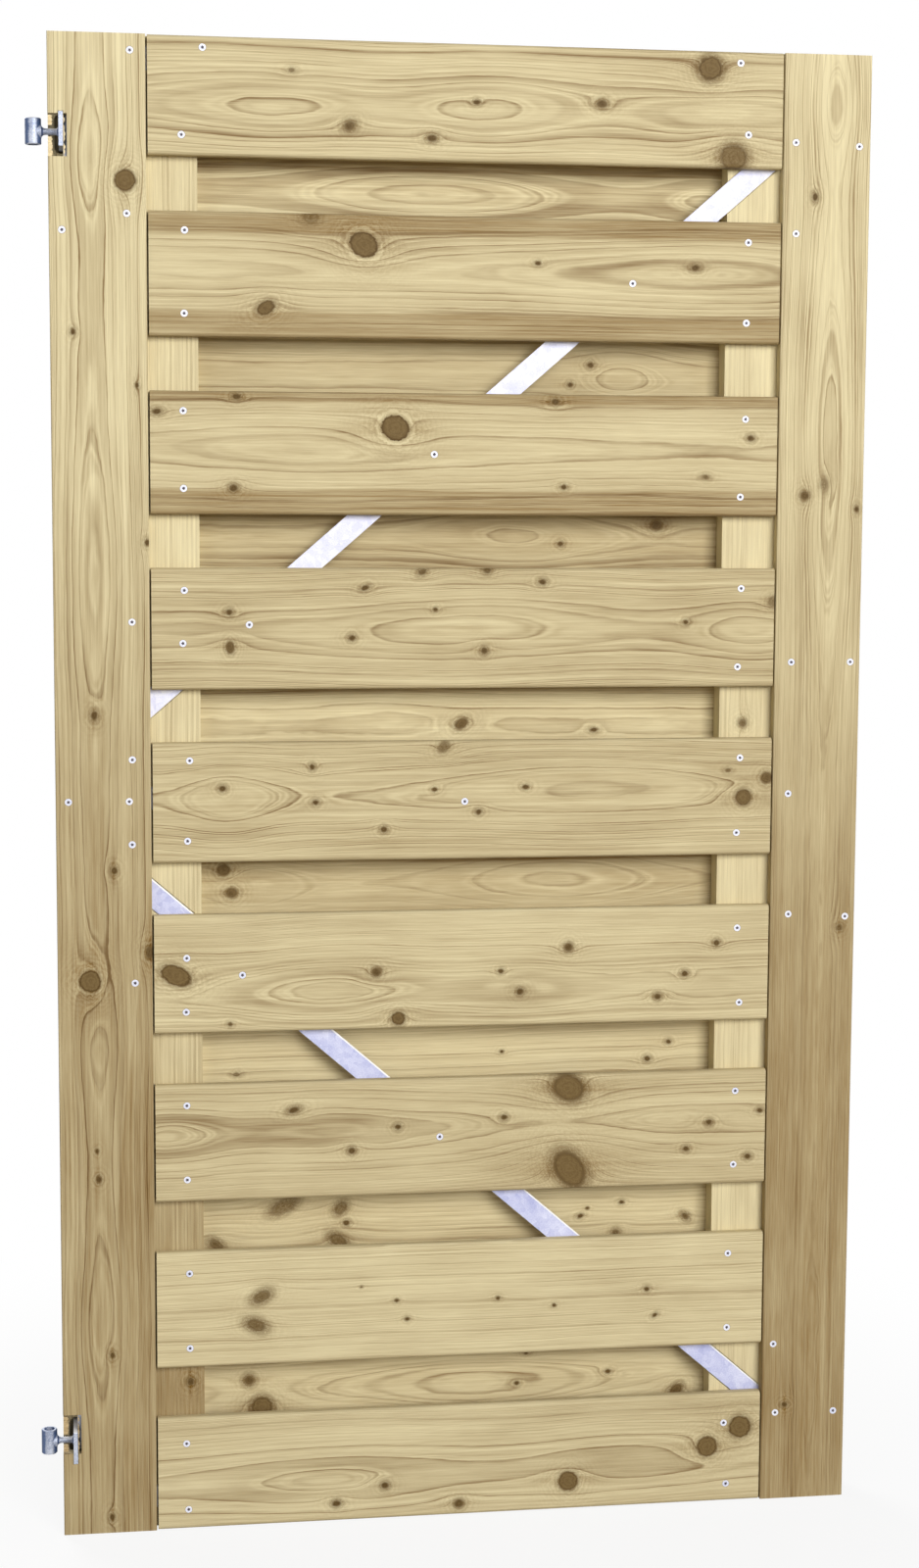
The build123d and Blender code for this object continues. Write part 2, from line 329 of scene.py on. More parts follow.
def make_wood_group():
    """Softwood: growth rings round a pith behind the face, fibre, blotches, bands and knots."""
    numbers = ("Across", "Nearest", "Size", "Tone", "Smudge", "Tail", "Bulge", "Figure centre",
               "Pith depth", "Wander", "Ring width", "Crowding start", "Crowding", "Seed",
               "Darkening", "Contrast", "Upper band and shade", "Lower band", "Band strength", "Half width")
    inputs = [("Point", "Vector")] + [(name, "Float") for name in numbers]
    outputs = [("Colour", "Color"), ("Roughness", "Float"), ("Height", "Float")]
    nodes, given, result = new_group("softwood", inputs, outputs)
    point, seed = given["Point"], given["Seed"]
    place = nodes.split(point)
    across, deep = place["Y"], place["Z"]
    shift = nodes.vector("MULTIPLY", nodes.join(seed, seed, seed), (13.7, 7.9, 3.3))

    def grain(length, width, detail=2.0):
        """Noise with features of this length and width, from about -1 to 1."""
        size = (1 / length, 1 / width, 1 / width)
        return nodes.noise(nodes.vector("MULTIPLY_ADD", point, size, shift), detail)

    def add_grain(base, length, width, weight, detail=2.0):
        """The base plus a weight of that noise."""
        return nodes.linear(grain(length, width, detail), weight, base)

    # Growth rings, as distances from a pith line that wanders behind the face
    side = nodes.minus(given["Across"], given["Figure centre"])
    side = add_grain(side, *PITH_WANDER, nodes.times(given["Wander"], WANDER_SHARE), detail=1)
    pith = nodes.plus(deep, given["Pith depth"])
    pith = add_grain(pith, *PITH_DEPTH_WANDER, detail=1)
    radius = nodes.linear(side, side, nodes.times(pith, pith))
    radius = nodes.math("SQRT", radius)
    radius = nodes.linear(given["Bulge"], KNOT_RISE, radius)
    for wave in RING_WAVES:
        radius = add_grain(radius, *wave, detail=1)
    outer = nodes.math("MAXIMUM", nodes.minus(radius, given["Crowding start"]), 0)
    crowd = nodes.times(nodes.times(outer, outer), given["Crowding"])
    ring = nodes.plus(nodes.over(radius, given["Ring width"]), crowd)
    uneven = nodes.add("TexNoise", noise_dimensions="1D")
    nodes.put(uneven.inputs["W"], nodes.linear(ring, UNEVEN_PACE, seed))
    nodes.put(uneven.inputs["Scale"], 1.0)
    nodes.put(uneven.inputs["Detail"], 0.0)
    ring = nodes.linear(uneven.outputs["Fac"], UNEVENNESS, ring)
    fine = add_grain(nodes.times(ring, 2 * pi * FINE_LINES), *FINE_WAVE, detail=1)
    patch = nodes.smooth(grain(*FINE_PATCHES, detail=1), *FINE_STEP)
    fine = nodes.times(nodes.times(nodes.math("SINE", fine), patch), given["Contrast"])

    # In each ring the pale early wood darkens into late wood, which ends sharply at the next ring
    number = nodes.math("FLOOR", ring)
    phase = nodes.minus(ring, number)
    late = nodes.plus(nodes.smooth(phase, *LATE_SLOW), nodes.smooth(phase, *LATE_FAST))
    late = nodes.times(late, nodes.smooth(phase, *LATE_END))
    late = nodes.times(late, nodes.smooth(nodes.math("ABSOLUTE", side), *OVER_PITH))
    late = nodes.times(late, add_grain(LATE_BASE, *LATE_FIBRE))
    each = nodes.add("TexWhiteNoise", noise_dimensions="1D")
    nodes.put(each.inputs["W"], nodes.plus(number, seed))
    strength = nodes.times(each.outputs["Value"], each.outputs["Value"])
    strength = nodes.linear(strength, *RING_STRENGTH)
    strength = nodes.times(strength, add_grain(RING_BASE, *RING_PATCHES))
    late = nodes.times(nodes.times(late, strength), given["Contrast"], clamp=True)
    colour = nodes.mix(late, PALE_WOOD, LATE_WOOD)

    # Fibre, streaks, fine lines, blotches and the denser wood along the edges of some planks, which
    # along the top of a rear board is painted shadow
    fibre = grain(*FIBRE)
    streaks = nodes.times(grain(*STREAKS), given["Contrast"])
    dark = nodes.linear(fibre, FIBRE_WEIGHT, given["Darkening"])
    dark = nodes.linear(streaks, STREAK_WEIGHT, dark)
    dark = nodes.linear(fine, FINE_WEIGHT, dark)
    for blotches in BLOTCHES:
        dark = add_grain(dark, *blotches)
    edge = add_grain(across, *BAND_WAVE, detail=1)
    dense = add_grain(BAND_BASE, *BAND_STREAKS)
    dense = add_grain(dense, *BAND_PATCHES)
    dense = nodes.times(dense, given["Band strength"])
    # On a rear board the band along the upper edge is painted shadow, cast by the front board above
    for name, sign in (("Upper band and shade", 1.0), ("Lower band", -1.0)):
        inside = nodes.linear(edge, sign, given["Half width"])
        gap = nodes.minus(inside, given[name])
        dark = nodes.linear(nodes.smooth(gap, *BAND_STEP), dense, dark)

    # Round a knot: shade, lines that swirl round it, a pale gleam at its rim, and tails
    ragged = nodes.noise(nodes.vector("MULTIPLY_ADD", point, RAGGED_SCALE, shift))
    rough_edge = nodes.noise(nodes.vector("MULTIPLY_ADD", point, ROUGH_SCALE, shift))
    shade = nodes.times(given["Bulge"], nodes.linear(ragged, *KNOT_SHADE))
    dark = nodes.plus(dark, shade)
    distance = nodes.linear(ragged, RAGGEDNESS, given["Nearest"])
    beyond = nodes.math("MAXIMUM", nodes.minus(distance, 1.0), 0)
    close = nodes.math("EXPONENT", nodes.times(beyond, SWIRL_FALL))
    close = nodes.times(close, given["Tone"])
    turns = nodes.times(nodes.times(distance, given["Size"]), 2 * pi / SWIRL_PERIOD)
    turns = nodes.linear(ragged, SWIRL_RAGGED, turns)
    swirl = nodes.times(nodes.math("SINE", turns), close)
    dark = nodes.linear(swirl, SWIRL_WEIGHT, dark)
    streaky = nodes.linear(rough_edge, *TAIL_STREAKS, clamp=True)
    gleam = nodes.bell(nodes.times(nodes.minus(distance, GLEAM_PLACE), GLEAM_SHARPNESS))
    clean = nodes.minus(given["Tone"], given["Smudge"], clamp=True)
    gleam = nodes.times(gleam, clean)
    dark = nodes.linear(gleam, GLEAM_WEIGHT, dark)
    dark = nodes.linear(nodes.times(given["Tail"], streaky), TAIL_WEIGHT, dark)
    darkening = nodes.mix(dark, (1, 1, 1, 1), DARKENED, clamp=False)
    colour = nodes.mix(1.0, colour, darkening, "MULTIPLY")

    # The knot itself: the halo, and the core with its rings and rim
    big = nodes.smooth(given["Size"], SMALL_KNOT, BIG_KNOT)
    limit = nodes.linear(big, *CORE_REACH)
    softness = nodes.linear(big, *CORE_SOFTNESS)
    tear = nodes.linear(given["Smudge"], SMUDGE_TEAR, nodes.linear(big, *CORE_TEAR))
    torn = nodes.linear(rough_edge, tear, distance)
    softness = nodes.linear(given["Smudge"], SMUDGE_SOFTNESS, softness)
    core_depth = nodes.over(nodes.minus(limit, torn), softness)
    core = nodes.times(nodes.smooth(core_depth, *CORE_STEP), given["Tone"])
    past = nodes.minus(nodes.linear(rough_edge, HALO_TEAR, torn), limit)
    reach = nodes.linear(given["Smudge"], SMUDGE_REACH, nodes.linear(big, *HALO_REACH))
    halo = nodes.smooth(past, 0.0, nodes.linear(ragged, HALO_RAGGED, reach), 1.0, 0.0)
    halo = nodes.times(nodes.times(halo, given["Tone"]), streaky)
    halo = nodes.times(halo, nodes.linear(given["Smudge"], *HALO_STRENGTH), clamp=True)
    colour = nodes.mix(halo, colour, KNOT_HALO)
    core_rings = nodes.linear(nodes.math("SINE", turns), *CORE_RINGS)
    core_rings = nodes.linear(rough_edge, CORE_MOTTLE, core_rings)
    rim = nodes.smooth(nodes.over(distance, limit), *RIM_STEP)
    core_rings = nodes.plus(core_rings, rim)
    core_rings = nodes.plus(core_rings, nodes.linear(big, *CORE_DARKNESS), clamp=True)
    knot_colour = nodes.mix(core_rings, KNOT_MIDDLE, KNOT_RIM)
    nodes.put(result["Colour"], nodes.mix(core, colour, knot_colour))

    rough = nodes.linear(fibre, *WOOD_ROUGHNESS)
    rough = nodes.linear(late, LATE_GLOSS, rough)
    nodes.put(result["Roughness"], nodes.linear(core, KNOT_GLOSS, rough))
    height = nodes.linear(late, LATE_HEIGHT, nodes.times(fibre, FIBRE_HEIGHT))
    nodes.put(result["Height"], nodes.linear(core, KNOT_HEIGHT, height))
    return nodes.tree


knot_group = make_knot_group()
wood_group = make_wood_group()


def new_material(name):
    """A material with its Nodes and its surface shader."""
    made = bpy.data.materials.new(name)
    made.use_nodes = True
    return made, Nodes(made.node_tree), made.node_tree.nodes["Principled BSDF"]


def dress(piece, material):
    """Gives the piece this one material."""
    piece.data.materials.clear()
    piece.data.materials.append(material)


# The hinge notches: how far their middles lie below the top of the leaf, half their height, and
# between which distances from the leaf's edge their walls show
NOTCH_DROPS = (117, 1673)
NOTCH_HALF_HEIGHT = 25
NOTCH_START = 0.2
NOTCH_END = 23

# What a knot has after its place and radius, and a plank's figure, unless its table says otherwise.
# Bands this far outside a plank do not show on it
KNOT_SHAPE = (1.12, 0.0, 1.0, 0.6)
NO_BAND = -20
NO_KNOT = 99.0
FIGURE = dict(
    wander=12, contrast=(1.0, 1.0), crowd_from=46, crowd=0.006, upper_band_and_shade=NO_BAND,
    lower_band=(0, 1, NO_BAND, NO_BAND), band=1.0, cut=None,
)


def wood(node, upright=False, knots=(), swells=(), dark=(0, 0), fade=(0, 1), **figure):
    """Gives a plank its own piece of softwood.

    knots: (along, across, radius) and, where a knot needs them, its length against its width, its
    lean, its tone, and how smudged it is.
    swells: (along, half length, rise). There the pith comes nearer to the face by the rise, and
    the rings close into ovals.
    dark, contrast: each has a value for the place fade[0] along the plank and one for fade[1].
    centre, pith, wander: where the pith lies, across from the centre line and behind the face,
    and how far it wanders.
    ring, crowd_from, crowd: width of the rings, and from which radius and how fast they crowd.
    upper_band_and_shade, lower_band, band: widths of the dense wood along the two edges, and its
    strength. On a rear board the upper one is painted shadow cast by the front board above. The
    lower one is (start, end, width at the start, width at the end).
    cut: (colour, first depth, last depth) of the wood that shows in the hinge notches,
    a paler raw wood that also holds painted light for the light that reaches into them.
    seed: shifts the noises.
    """
    figure = {**FIGURE, **figure}
    low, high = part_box(node)
    material, nodes, surface = new_material("wood_" + node)
    row = nodes.split(nodes.add("TexCoord").outputs["Object"])
    down_from = leaf_top if upright else (low.z + high.z) / 2
    down = nodes.linear(row["Z"], -1 / MM, down_from / MM)
    right_from = (low.x + high.x) / 2 if upright else leaf_left
    right = nodes.linear(row["X"], 1 / MM, -right_from / MM)
    deep = nodes.linear(row["Y"], 1 / MM, -low.y / MM)
    along, across = (down, right) if upright else (right, down)
    point = nodes.join(along, across, deep)

    state = dict(
        Across=across, Nearest=NO_KNOT, Size=1.0, Tone=0.0, Smudge=0.0, Tail=0.0, Bulge=0.0,
    )
    for knot_along, knot_across, radius, *shape in knots:
        length, lean, tone, smudge = [*shape, *KNOT_SHAPE[len(shape):]]
        knot = nodes.add("Group", node_tree=knot_group)
        settings = {
            "Point": point, "Centre": (knot_along, knot_across, 0), "Radius": radius,
            "Length": length, "Lean": lean, "Knot tone": tone, "Knot smudge": smudge, **state,
        }
        for name, value in settings.items():
            nodes.put(knot.inputs[name], value)
        state = {name: knot.outputs[name] for name in state}

    depth = figure["pith"]
    for swell_along, half_length, rise in swells:
        offset = nodes.over(nodes.minus(along, swell_along), half_length)
        depth = nodes.linear(nodes.bell(offset), -rise, depth)

    softwood = nodes.add("Group", node_tree=wood_group)
    settings = {
        "Point": point, **state, "Seed": figure["seed"],
        "Figure centre": figure["centre"], "Pith depth": depth, "Wander": figure["wander"],
        "Ring width": figure["ring"], "Crowding start": figure["crowd_from"],
        "Crowding": figure["crowd"],
        "Darkening": nodes.smooth(along, *fade, *dark),
        "Contrast": nodes.smooth(along, *fade, *figure["contrast"]),
        "Upper band and shade": figure["upper_band_and_shade"],
        "Lower band": nodes.smooth(along, *figure["lower_band"]),
        "Band strength": figure["band"],
        "Half width": ((high.x - low.x) if upright else (high.z - low.z)) / 2 / MM,
    }
    for name, value in settings.items():
        nodes.put(softwood.inputs[name], value)
    colour = softwood.outputs["Colour"]
    if figure["cut"]:
        # The walls of the hinge notches, or the wood that is seen through them: paler raw wood,
        # with painted light
        cut_colour, first, last = figure["cut"]
        offsets = [nodes.math("ABSOLUTE", nodes.minus(down, drop)) for drop in NOTCH_DROPS]
        mask = nodes.math("LESS_THAN", nodes.math("MINIMUM", *offsets), NOTCH_HALF_HEIGHT)
        for value, start, end in ((right, NOTCH_START, NOTCH_END), (deep, first, last)):
            mask = nodes.times(mask, nodes.math("GREATER_THAN", value, start))
            mask = nodes.times(mask, nodes.math("LESS_THAN", value, end))
        colour = nodes.mix(mask, colour, cut_colour)
    nodes.put(surface.inputs["Base Color"], colour)
    nodes.put(surface.inputs["Roughness"], softwood.outputs["Roughness"])
    surface.inputs["Specular IOR Level"].default_value = 0.06
    nodes.roughen(surface, softwood.outputs["Height"], strength=0.5, distance=0.3)
    dress(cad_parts[node], material)


# Front boards, from the top
FRONT_BOARDS = (
    dict(centre=8, pith=32, ring=6.6, wander=14, seed=1.3, contrast=(1.3, 1.15),
         swells=((265, 120, 14), (510, 95, 15.5), (800, 90, 12)),
         knots=((351, 30, 7, 1.1, 0.2, 0.9, 0.9), (449, 42, 6, 1.4), (502, -1, 4, 1.5),
                (653, -3, 6.5, 1.3), (785, -48, 13, 1.05, 0, 1, 1), (815, 56, 15, 1.05, 0, 0.85, 1),
                (283, -32, 4, 1.6, 0, 0.6))),
    dict(centre=-8, pith=30, ring=6.2, wander=8, seed=2.9, crowd_from=44, crowd=0.008,
         contrast=(0.9, 0.95), dark=(0.04, 0.04), upper_band_and_shade=25, lower_band=(0, 1, 31, 31),
         swells=((760, 160, 10),),
         knots=((368, -37, 15, 1.1, -0.15, 1, 0.1), (252, 38, 9, 1.2, 0.4),
                (305, -68, 8, 1.3, 0, 0.5, 1.2), (577, -19, 3.5, 1.5), (770, -17, 5, 1.4))),
    dict(centre=-4, pith=36, ring=6.2, wander=9, seed=4.2, crowd_from=48, crowd=0.008,
         contrast=(0.9, 0.9), dark=(0.05, 0.05), upper_band_and_shade=13, lower_band=(0, 1, 31, 31),
         swells=((330, 200, 11),),
         knots=((406, -31, 15, 1.12, -0.1, 1, 0.1), (123, -48, 5, 1.6), (217, -66, 5, 1.4),
                (213, 41, 6, 1.2), (611, 38, 4, 1.3), (786, 25, 4, 1.5, 0, 0.7), (842, -22, 5, 1.2),
                (600, -64, 5, 1.4))),
    dict(centre=2, pith=34, ring=6.6, wander=15, seed=5.7, dark=(0.16, 0.2), contrast=(1.2, 1.2),
         fade=(200, 800),
         swells=((480, 150, 12), (850, 70, 12)),
         knots=((207, -20, 5), (208, 22, 8, 0.7), (439, -68, 6, 1.2, 0.3, 0.8),
                (518, -70, 6, 1.2, 0, 0.8), (370, -49, 5, 1.3, 0.5), (586, -56, 5, 1.3),
                (455, -23, 3.5), (354, 11, 5), (515, 27, 6, 0.9), (764, -7, 4),
                (874, -32, 8, 1, 0, 0.6))),
    dict(centre=-6, pith=40, ring=5.9, wander=13, seed=7.1, dark=(0.12, 0.2), contrast=(1.2, 1.2),
         fade=(200, 700),
         swells=((205, 50, 9), (640, 200, 11)),
         knots=((306, -42, 5, 0.9), (198, -17, 5), (310, 1, 4.5), (393, 35, 5), (455, -13, 3.5),
                (509, 15, 4.5), (567, -15, 4, 1.4), (466, -65, 8, 1, 0.3, 0.7), (840, 1, 10, 1),
                (869, -23, 8, 1), (820, -33, 4, 1.4, 0, 0.6))),
    dict(centre=24, pith=34, ring=5.5, wander=13, seed=8.6, dark=(-0.08, 0.0), fade=(100, 800),
         swells=((330, 110, 11), (572, 75, 7)),
         knots=((141, 1, 13, 1.25, -0.5), (384, 2, 7, 1.05), (411, 60, 9, 1), (622, -24, 7, 1),
                (538, 4, 4), (562, 30, 6, 1.1), (769, 12, 5), (735, 40, 5.5), (809, -26, 5.5, 1),
                (206, 62, 4, 1, 0, 0.8))),
    dict(centre=-10, pith=34, ring=5.9, wander=10, seed=9.4, contrast=(0.95, 0.95),
         dark=(0.13, 0.17), fade=(200, 800),
         swells=((130, 70, 14), (330, 110, 8)),
         knots=((624, -56, 16, 1.15, -0.2, 1, 0.9), (626, 47, 22, 0.82, -0.3, 1, 0.9),
                (283, -38, 6, 1.6, 0.5), (354, 15, 6, 1.05), (543, -21, 5), (411, -13, 5),
                (774, 26, 4.5), (853, 38, 5, 1.2), (803, -7, 5, 1.1), (868, -20, 4, 1.2))),
    dict(centre=-150, pith=60, ring=3.4, wander=14, seed=11.8, dark=(-0.15, -0.08), fade=(200, 800),
         contrast=(0.85, 0.85), crowd=0,
         knots=((243, -14, 8.5, 1.2, 0.5, 0.75, 1.3), (236, 22, 8.5, 1.3, -0.5, 0.8, 1.3),
                (410, -2, 3), (366, -21, 2, 1.3, 0, 0.7), (423, 22, 3.5), (537, 0, 3), (608, 12, 3),
                (726, -4, 4), (737, 30, 4, 1, 0.5))),
    dict(centre=14, pith=31, ring=7, wander=13, seed=12.5, dark=(-0.02, 0.05), fade=(200, 800),
         swells=((330, 130, 14), (680, 120, 10)),
         knots=((628, 34, 12, 1), (807, -2, 12.5, 1), (849, -26, 14, 1), (396, 28, 6, 1.1),
                (335, 48, 6, 1.3), (489, 56, 7, 1.1))),
)

# Rear boards, from the top. Their upper and lower parts are hidden from the front. The dark band
# along the top of those with an upper band is painted shadow cast by the front board above
REAR_BOARDS = (
    dict(centre=2, pith=33, ring=7.8, wander=4, seed=21.3, dark=(0.12, 0.05), contrast=(1.6, 1.6),
         upper_band_and_shade=50,
         swells=((450, 150, 20), (790, 60, 10))),
    dict(centre=10, pith=36, ring=6.2, wander=9, seed=22.8, dark=(0.25, 0.25),
         swells=((690, 60, 12),),
         knots=((651, -6, 5), (626, 18, 4))),
    dict(centre=-8, pith=36, ring=6.2, wander=9, seed=23.6, dark=(0.4, 0.4),
         swells=((560, 90, 12),),
         knots=((736, -20, 7), (616, 3, 4.5))),
    dict(centre=16, pith=50, ring=6.2, wander=14, seed=24.1, dark=(-0.1, -0.1), upper_band_and_shade=50,
         knots=((494, 15, 8, 1.1, 0.4), (660, 24, 4, 1.6))),
    dict(centre=2, pith=40, ring=6.2, wander=9, seed=25.9, dark=(0.36, 0.36), upper_band_and_shade=50,
         swells=((620, 130, 17), (230, 60, 10)),
         knots=((201, -16, 8), (211, 12, 7.5))),
    dict(centre=90, pith=60, ring=5, wander=10, crowd=0, seed=26.4, dark=(0.0, 0.0),
         contrast=(0.8, 0.8),
         knots=((547, 10, 3), (733, 24, 5), (760, 3, 4), (216, 30, 4, 1.5, 0, 0.6))),
    dict(centre=-80, pith=60, ring=5, wander=10, crowd=0, seed=27.7, dark=(0.0, 0.0),
         contrast=(0.8, 0.8),
         knots=((274, -10, 11, 1.2, 0.8, 0.62, 1.3), (345, -5, 8.5, 0.9, 0.3, 0.75, 1.3),
                (352, 14, 5), (342, 36, 9, 1.1, -0.5, 0.8, 1.3), (190, 36, 8, 1, -0.6, 0.7, 1.3),
                (600, 4, 3), (649, 16, 4, 1.3, 0.4), (658, 6, 2.5), (702, 0, 3.5, 1.3),
                (785, 21, 6, 1, -0.4, 0.9, 1.1), (695, 39, 6, 1, 0, 0.7, 1))),
    dict(centre=18, pith=38, ring=5.9, wander=10, seed=28.2, dark=(0.1, 0.1),
         swells=((520, 130, 12),),
         knots=((230, 3, 7, 1, 0, 1, 1), (246, 38, 12, 1, 0, 1, 1), (776, 40, 8, 1, 0.4, 1, 1),
                (687, 12, 4), (569, 22, 4), (581, -18, 3.5))),
)

STILES = {
    "front_stile_hinge_side": dict(
        centre=-8, pith=30, ring=5.5, wander=6, seed=31.4, dark=(-0.24, 0.62), fade=(250, 1100),
        band=0.38, lower_band=(850, 1450, -6, 46), crowd_from=38, crowd=0.006, contrast=(1.3, 1.15),
        swells=((150, 62, 7), (620, 150, 9), (1185, 60, 4), (1540, 90, 6)),
        cut=((0.85, 0.62, 0.32, 1), 0.6, 15.6),
        knots=((167, 32, 12, 1, 0, 1, 0.5), (342, -30, 4, 1.3), (403, 44, 3, 1.6),
               (587, 54, 4, 1.3), (792, -10, 5.5, 1.4), (978, 12, 5, 1.3), (1078, 54, 7, 1.4),
               (1112, -18, 13, 1, 0, 1, 0.3), (1355, -10, 4.5, 1.3), (1320, -12, 3, 1.3),
               (1575, 4, 4, 1.3), (1780, 2, 4.5, 1.4))),
    "front_stile_latch_side": dict(
        centre=10, pith=28, ring=3.9, wander=5, seed=33.1, dark=(-0.2, 0.9), fade=(290, 1340),
        crowd_from=36, crowd=0.006, contrast=(1.25, 0.7),
        swells=((60, 60, 8), (480, 190, 13)),
        knots=((169, -14, 5, 1.4), (528, -20, 7, 1), (514, 4, 7, 1.4, 0, 0.5), (544, 46, 4, 1.4),
               (1064, 35, 6, 1, 0, 0.6), (1677, -24, 5, 0.9))),
    "rear_stile_hinge_side": dict(
        centre=12, pith=32, ring=5.5, wander=7, seed=35.8, dark=(-0.1, 0.3), fade=(250, 1500),
        cut=((0.8, 0.5, 0.22, 1), -1, 13),
        knots=((310, 20, 8), (930, -16, 6), (1490, 24, 9))),
    "rear_stile_latch_side": dict(
        centre=-10, pith=34, ring=5.5, wander=7, seed=37.2, dark=(-0.1, 0.3), fade=(250, 1500),
        knots=((450, -22, 9), (1210, 14, 7), (1620, -8, 5))),
}

BATTENS = {
    "batten_hinge_side": dict(
        centre=-110, pith=30, ring=3, wander=4, seed=41.5, dark=(-0.42, 0.85), fade=(950, 1650),
        contrast=(1.2, 1.2),
        knots=((1618, 48, 6), (1152, 20, 3))),
    "batten_latch_side": dict(
        centre=120, pith=20, ring=3.2, wander=4, seed=43.9, dark=(-0.46, -0.25), fade=(150, 1000),
        contrast=(0.8, 0.8),
        knots=((808, -35, 7, 1, 0, 0.8), (1216, 30, 4))),
}

for number, figure in enumerate(FRONT_BOARDS, 1):
    wood(f"front_board_{number}", **figure)
for number, figure in enumerate(REAR_BOARDS, 1):
    wood(f"rear_board_{number}", **figure)
for name, figure in {**STILES, **BATTENS}.items():
    wood(name, upright=True, **figure)


# The lower brace falls to the latch side at this many degrees, and its upper edge passes the middle
# of its box at this distance. The painted highlight, a pale line along that edge, fades in between
# these distances below it
BRACE_TURN = 41.0
BRACE_EDGE = 5.6
HIGHLIGHT_START = 1.9
HIGHLIGHT_FULL = 1.2

# Size of the clouds in millimetres, and what gives the tone from dull to pale: clouds as (slope,
# base), crystals and specks. Flanks, with their painted dark reflection, and surfaces that face up,
# with their painted highlight, show between these slants
CLOUD_SIZE = 26
CLOUD_TONE = (0.3, 0.35)
CRYSTAL_TONE = 0.3
SPECK_TONE = 0.24
FLANK_SLANT = (0.35, 0.95)
UPWARD_SLANT = (0.3, 0.7)
CRYSTAL_ROUGHNESS = 0.12
CLOUD_ROUGHNESS = 0.05
# Surfaces that face up whiten with a painted highlight between these distances from the hinge
# axis, in millimetres, so that the sleeves and necks stay dull
SLEEVE_END = 14
LEAF_START = 22


def steel(name, pale, dull, rough, metal, cell, painted_flank_shade=0.0, grit=0.9, painted_top_highlight=0.0, highlight_edge_of=None):
    """Hot-dip galvanised steel: crystals of a cell size in millimetres, clouds, and specks of grit.

    Flanks, the surfaces that face the sides of the leaf, are duller by painted_flank_shade, a
    painted dark reflection. Surfaces that face up are whiter by painted_top_highlight, a painted
    highlight of the light from above, but not at the sleeves. The node that is named by
    highlight_edge_of has a painted highlight, a pale line, along its upper edge.
    """
    material, nodes, surface = new_material(name)
    point = nodes.scaled(nodes.add("TexCoord").outputs["Object"], 1 / MM)
    normal = nodes.split(nodes.add("NewGeometry").outputs["Normal"])
    flank = nodes.math("ABSOLUTE", normal["X"])
    crystals = nodes.add("TexVoronoi", feature="F1")
    nodes.put(crystals.inputs["Vector"], nodes.scaled(point, 1 / cell))
    nodes.put(crystals.inputs["Scale"], 1.0)
    crystal = nodes.split(crystals.outputs["Color"])
    cloud = nodes.noise(nodes.scaled(point, 1 / CLOUD_SIZE), 3.0)
    speck = nodes.noise(nodes.scaled(point, 1 / grit))
    tone = nodes.linear(cloud, *CLOUD_TONE)
    tone = nodes.linear(crystal["X"], CRYSTAL_TONE, tone)
    # Painted reflection: flanks are duller, as if they mirrored dark surroundings
    tone = nodes.linear(nodes.smooth(flank, *FLANK_SLANT), -painted_flank_shade, tone)
    tone = nodes.linear(speck, SPECK_TONE, tone, clamp=True)
    colour = nodes.mix(tone, dull, pale)
    # Painted highlight: surfaces that face up whiten, as if lit from above
    highlight_mask = nodes.smooth(normal["Z"], *UPWARD_SLANT, 0.0, painted_top_highlight)
    beyond = nodes.smooth(nodes.split(point)["X"], SLEEVE_END, LEAF_START)
    highlight_mask = nodes.times(highlight_mask, beyond)
    if highlight_edge_of:
        low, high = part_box(highlight_edge_of)
        centre = (low + high) / 2 / MM
        turn = radians(BRACE_TURN)
        place = nodes.split(nodes.vector("SUBTRACT", point, tuple(centre)))
        raised = nodes.times(place["X"], sin(turn))
        raised = nodes.linear(place["Z"], cos(turn), raised)
        # Painted highlight along the upper edge of the lower brace
        edge_highlight = nodes.smooth(raised, BRACE_EDGE - HIGHLIGHT_START, BRACE_EDGE - HIGHLIGHT_FULL)
        highlight_mask = nodes.math("MAXIMUM", highlight_mask, edge_highlight)
    nodes.put(surface.inputs["Base Color"], nodes.mix(highlight_mask, colour, (1, 1, 1, 1)))
    coarse = nodes.linear(crystal["Y"], CRYSTAL_ROUGHNESS, rough - CRYSTAL_ROUGHNESS / 2)
    nodes.put(surface.inputs["Roughness"], nodes.linear(cloud, CLOUD_ROUGHNESS, coarse))
    surface.inputs["Metallic"].default_value = metal
    nodes.roughen(surface, nodes.linear(speck, 0.5, cloud), strength=0.35, distance=0.12)
    return material


bright_zinc = steel(
    "zinc_bright", (0.94, 0.95, 1, 1), (0.55, 0.57, 0.84, 1), rough=0.6, metal=0.1, cell=7,
    grit=1.8, painted_top_highlight=0.5)
lilac_zinc = steel(
    "zinc_lilac", (0.78, 0.8, 0.97, 1), (0.36, 0.39, 0.68, 1), rough=0.6, metal=0.1, cell=7,
    grit=1.8, painted_top_highlight=1.0, highlight_edge_of="brace_lower")
blue_zinc = steel(
    "zinc_blue", (0.74, 0.77, 0.84, 1), (0.09, 0.14, 0.28, 1), rough=0.5, metal=0.4, cell=1.3,
    painted_flank_shade=1.1, painted_top_highlight=0.75)
frame_zinc = steel(
    "zinc_frame", (0.6, 0.63, 0.72, 1), (0.4, 0.43, 0.52, 1), rough=0.45, metal=0.7, cell=8)
screw_zinc = steel(
    "zinc_screws", (0.97, 0.97, 1, 1), (0.55, 0.6, 0.8, 1), rough=0.5, metal=0.1, cell=2)
dress(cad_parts["brace_upper"], bright_zinc)
dress(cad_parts["brace_lower"], lilac_zinc)
for place in ("upper", "lower"):
    dress(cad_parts[f"hinge_{place}"], blue_zinc)
for part in ("upright_hinge_side", "upright_latch_side", "rail_top", "rail_middle", "rail_bottom"):
    dress(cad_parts[f"frame_{part}"], frame_zinc)

